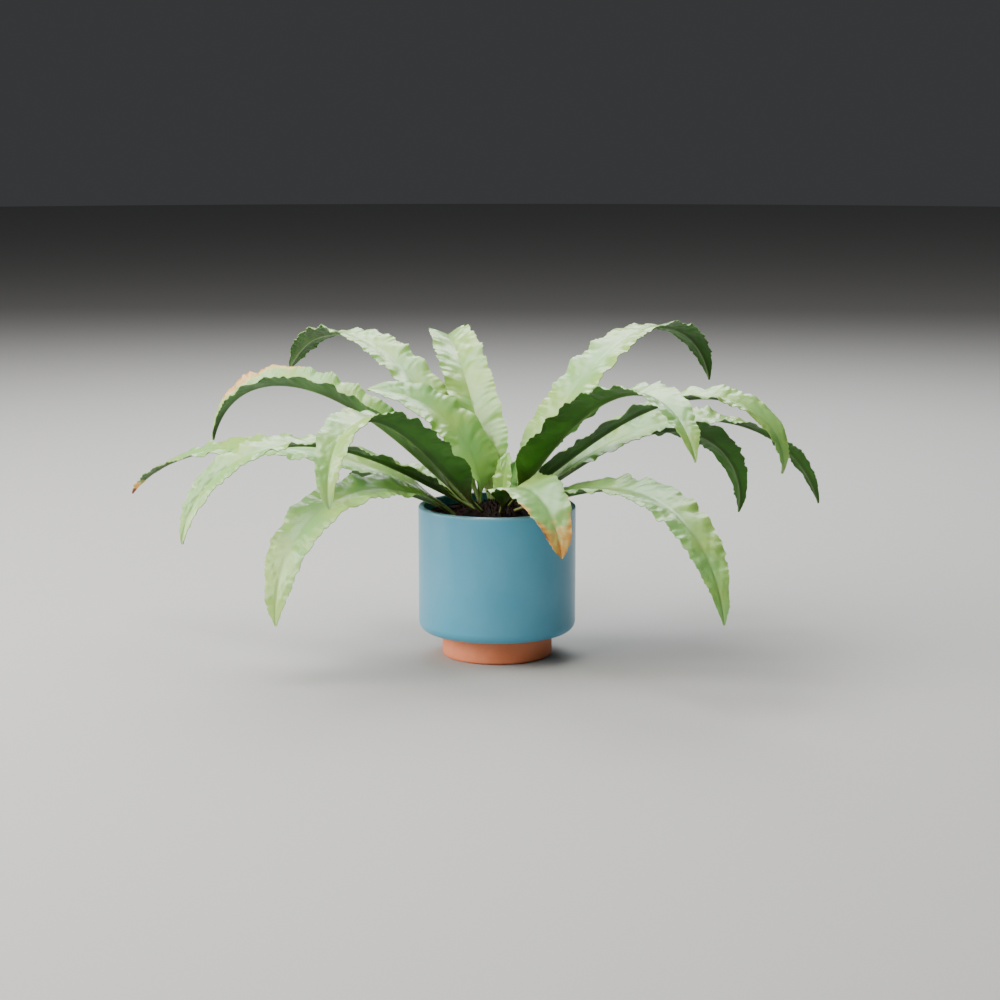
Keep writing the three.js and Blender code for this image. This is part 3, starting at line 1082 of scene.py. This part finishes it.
    def _surface(
        self, crown: Crown, across: Array, share: Array, under: Array
    ) -> Array:
        """Bends the flat blade's points to the frond.

        Args:
            crown: the crown that it is rooted on or beside.
            across: place across the blade, from -1 at the right margin to 1 at the left.
            share: place along it, nought at its root and one at the tip.
            under: which points are on the under face.

        Returns:
            The points, in millimetres.
        """
        inside = np.clip(share, 0, 1)
        reach = np.abs(across)
        half = self._half_width(inside)
        flat = smoothstep(inside, self.FLAT_FROM, self.FLAT_FULL)
        open_out = smoothstep(inside, 0, self.OPEN_SHARE)
        channel = min(self.CHANNEL * self.fold, self.CHANNEL_MOST)
        fold = np.radians(channel + (self.fold - channel) * open_out) * flat
        waves = self._by_side(self._wave, inside, across)
        frill = self._by_side(self._frill, inside, across)
        teeth = self._by_side(self._teeth, inside, across)
        out = half * np.cos(fold) * across
        out += np.sign(across) * (self.WAVE_OUTWARD * waves * reach**3 + teeth * reach**8)
        height = half * np.sin(fold) * (reach - self.BELLY * flat * (1 - (1 - reach) ** 6))
        height += waves * reach**1.8 + frill * reach**3 + self._puckers(inside, across)
        height += self.STALK_CREST * (1 - flat) * (1 - across**2)
        round_rib = np.sqrt(np.clip(1 - across**2, 0, 1))
        thin_rib = np.exp(-((out / self.RIB_REACH) ** 2))
        rib = round_rib * (1 - flat) + thin_rib * flat
        margin = self.STALK_MARGIN + (self.MARGIN - self.STALK_MARGIN) * flat
        keel = self.STALK_DEPTH + (self.MIDRIB - self.STALK_DEPTH) * smoothstep(inside, 0, 1)
        height -= self.GROOVE_DEPTH * flat * np.exp(-((out / self.GROOVE_REACH) ** 2))
        height -= np.where(under, margin + (keel - margin) * rib, 0)
        _, left, up = self._directions(inside)
        return self._midrib(crown, share) + left * out[:, None] + up * height[:, None]

    @staticmethod
    def _by_side(
        form: Callable[[Array, Side], Array], share: Array, across: Array
    ) -> Array:
        """Takes a margin's form from the side of the blade that each point is on."""
        return np.where(across > 0, form(share, Side.LEFT), form(share, Side.RIGHT))

    def _mark(
        self, piece: Piece, across: Array, share: Array, under: Array
    ) -> None:
        """Writes the UV map in metres and the attributes that the leaf's finish reads.

        Args:
            piece: the blade.
            across: place across it, from -1 to 1.
            share: place along it.
            under: which points are on the under face.
        """
        mesh = piece.data
        half = self._half_width(np.clip(share, 0, 1))
        uv = np.stack([share * self.length, across * half], 1) * MM
        corners = np.empty(len(mesh.loops), dtype=np.int32)
        mesh.loops.foreach_get("vertex_index", corners)
        layer = mesh.uv_layers[0]
        layer.name = "blade"
        layer.data.foreach_set("uv", uv[corners].astype(np.float32).ravel())
        values = {
            "under": under.astype(np.float32),
            "stalk": 1 - smoothstep(share, *self.STALK_FLUSH),
            "wither": self._wither(across, share),
            "tone_and_shade": np.full(len(share), self.tone_and_shade),
        }
        for name, value in values.items():
            mesh.attributes.new(name, "FLOAT", "POINT").data.foreach_set(
                "value", value.astype(np.float32)
            )

    def _wither(self, across: Array, share: Array) -> Array:
        """Returns how far each point has withered."""
        old = self.ageing
        reach = np.abs(across)
        side = np.where(across > 0, old.left, old.right)
        side = side * smoothstep(share, old.start, old.start + self.WITHER_IN)
        side = side * (1 - smoothstep(share, old.until, old.until + self.WITHER_OUT))
        patchy = 0.75 + 0.35 * ripple(share * 5.1 + self.chance(15))
        margin = np.minimum(side * patchy * reach**3, self.MARGIN_WITHER_MOST)
        return margin + old.tip * smoothstep(share, old.tip_from, 1.0)


FRONDS = [
    # left_back_low's dark brown tip is partly withering and partly painted shade.
    Frond("left_back_low", azimuth=183, sweep=-62, rise=46, droop=-33, bend=0.68,
          length=396, width=34, seat=190, roll=22, twist=-10, fold=8, root=38,
          ageing=Ageing(tip=1.1, tip_from=0.88, right=0.4, start=0.5, until=0.75)),
    Frond("left_long", azimuth=197.5, sweep=16, rise=31.5, droop=-84, bend=2.25,
          length=323, width=41, seat=199, twist=26, fold=12, tone_and_shade=-0.05),
    Frond("left_arch", azimuth=176, sweep=-43, rise=44, droop=-69, bend=2.1,
          length=333, width=44, seat=182, twist=54, fold=44,
          ageing=Ageing(right=2.2, start=0.56, until=0.84)),
    Frond("left_front", azimuth=216, sweep=38, rise=44, droop=-118, bend=2.85,
          length=286, width=50, seat=230, tone_and_shade=-0.05),
    Frond("left_front_low", azimuth=196, sweep=40, rise=40, droop=-93.5, bend=1.12,
          length=253.5, width=52, seat=213, roll=12, fold=8, root=41, widest=0.28, tone_and_shade=0.05),
    Frond("left_back_high", azimuth=145.5, sweep=-28, rise=65, droop=-45, bend=1.3,
          length=368, width=43, seat=136, roll=8, twist=-35, fold=16, root=20, tone_and_shade=-0.12),
    Frond("back_tall", azimuth=117, sweep=-30, rise=69, droop=-39, bend=1.25,
          length=323, width=48, seat=108, roll=4, fold=24, root=12, widest=0.16, tone_and_shade=-0.1),
    Frond("left_upright", azimuth=164, sweep=8, rise=96, droop=0, bend=0.85,
          length=160, width=52, seat=165, roll=26, fold=12, root=15),
    Frond("right_back_high", azimuth=39, sweep=9, rise=54, droop=-76, bend=2.4,
          length=351, width=50, seat=43, twist=16, fold=8, root=17, tone_and_shade=-0.05),
    Frond("right_front", azimuth=-38, sweep=-32, rise=50.5, droop=-59, bend=2.0,
          length=315, width=52, seat=-38, fold=18, root=14),
    Frond("right_arch", azimuth=-10, sweep=-14, rise=39, droop=-102, bend=3.1,
          length=312, width=43, seat=-6, roll=2, twist=-30, fold=16, root=12),
    Frond("right_back", azimuth=36, sweep=-4, rise=25, droop=-104, bend=2.7,
          length=319, width=44, seat=28, roll=30, fold=16, tone_and_shade=0.05),
    Frond("right_low", azimuth=8, sweep=8, rise=40, droop=-74.5, bend=1.7,
          length=335, width=38, seat=4, roll=-18, twist=52, fold=12, tone_and_shade=0.05),
    Frond("right_front_low", azimuth=-41, sweep=-24, rise=21, droop=-79, bend=1.95,
          length=316, width=48, seat=-41, roll=-8, fold=10, tone_and_shade=0.1),
    Frond("front_short", azimuth=-68, sweep=12, rise=58, droop=-82, bend=1.0,
          length=147, width=48, seat=-80, roll=-13, fold=14, widest=0.22, tone_and_shade=-0.05,
          ageing=Ageing(tip=0.66, tip_from=0.6, left=0.3, right=0.5, start=0.3)),
    Frond("back_hidden", azimuth=100, sweep=-2, rise=48, droop=-75, bend=1.6,
          length=280, width=40, seat=106),
    Frond("back_hidden_left", azimuth=148, sweep=-16, rise=24, droop=-40, bend=1.6,
          length=170, width=38, seat=149, root=25),
    Frond("back_hidden_right", azimuth=56, sweep=2, rise=36, droop=-30, bend=1.6,
          length=100, width=36, seat=58),
    Frond("young", azimuth=55, sweep=0, rise=84, droop=64, bend=1.5,
          length=44, width=18, seat=-50, root=6, widest=0.35, tone_and_shade=-0.05),
    # young_right's high tone darkens the whole frond as painted shade.
    Frond("young_right", azimuth=56, sweep=0, rise=66, droop=45, bend=1.5,
          length=42, width=22, seat=76, fold=16, widest=0.4, tone_and_shade=0.9),
]


# Studio


@dataclass
class Studio:
    """A pale floor, soft lights and the camera at the photograph's angle."""

    floor_radius: float = 9.0
    camera_place: Triple = (0.0026, -2.068, 0.4925)
    camera_pitch: float = 9.7
    lens: float = 85.0
    world_tint: str = "cfd2d6"
    world_strength: float = 0.07
    floor_drop: float = 0.0002
    aim_height: float = 0.17
    sensor_width: float = 36.0

    def build(self) -> None:
        """Sets up the floor, world, lights and camera."""
        self._floor()
        self._world()
        self._lamp("key", (-1.35, -0.78, 1.73), 1.6, 43.0, "fffaf4")
        self._lamp("low_front", (-1.46, -1.46, 0.92), 1.2, 18.0, "fffaf4")
        self._lamp("side", (-2.13, 0.0, 0.74), 1.2, 39.0, "fffaf4")
        self._lamp("top", (-0.57, 0.0, 2.3), 1.2, 36.0, "fafcff")
        self._lamp("back", (0.05, 1.44, 1.8), 1.6, 58.0, "fafcff")
        self._camera()

    def _floor(self) -> None:
        """Lays the round paper floor under the saucer."""
        deselect_all()
        bpy.ops.mesh.primitive_circle_add(
            vertices=96,
            radius=self.floor_radius,
            fill_type="NGON",
            location=(0, 0, -self.floor_drop),
        )
        floor = bpy.context.object
        bpy.ops.object.transform_apply(location=True)
        floor.name = "studio_floor"
        floor.data.materials.append(PaperSweep().build())

    def _world(self) -> None:
        """Gives an even light from all round."""
        world = bpy.data.worlds.new("studio_world")
        world.use_nodes = True
        background = world.node_tree.nodes["Background"]
        background.inputs[0].default_value = colour(self.world_tint)
        background.inputs[1].default_value = self.world_strength
        bpy.context.scene.world = world

    def _lamp(
        self, name: str, place: Triple, size: float, power: float, tint: str
    ) -> None:
        """Hangs one soft square lamp that points at the plant.

        Args:
            name: the lamp's name.
            place: where it hangs, in metres.
            size: its width, in metres.
            power: its power, in watts.
            tint: its colour as sRGB hex.
        """
        light = bpy.data.lights.new(name, "AREA")
        light.size = size
        light.energy = power
        light.color = colour(tint)[:3]
        lamp = bpy.data.objects.new(name, light)
        lamp.location = place
        aim = Vector((0, 0, self.aim_height)) - Vector(place)
        lamp.rotation_euler = aim.to_track_quat("-Z", "Y").to_euler()
        bpy.context.scene.collection.objects.link(lamp)

    def _camera(self) -> None:
        """Sets the camera as the photograph's perspective tells."""
        data = bpy.data.cameras.new("camera")
        data.lens = self.lens
        data.sensor_width = self.sensor_width
        camera = bpy.data.objects.new("camera", data)
        camera.location = self.camera_place
        camera.rotation_euler = (math.radians(90 - self.camera_pitch), 0, 0)
        bpy.context.scene.collection.objects.link(camera)
        bpy.context.scene.camera = camera


def main() -> None:
    """Builds every piece in order, then the studio."""
    logging.basicConfig(level=logging.INFO, format="%(message)s")
    Saucer().build()
    Pot().build()
    Soil().build()
    crown = Crown()
    crown.build()
    leaf = FernCuticle().build()
    for number, frond in enumerate(FRONDS):
        frond.number = number
        frond.build(crown, leaf)
    Studio().build()


if __name__ == "__main__":
    main()
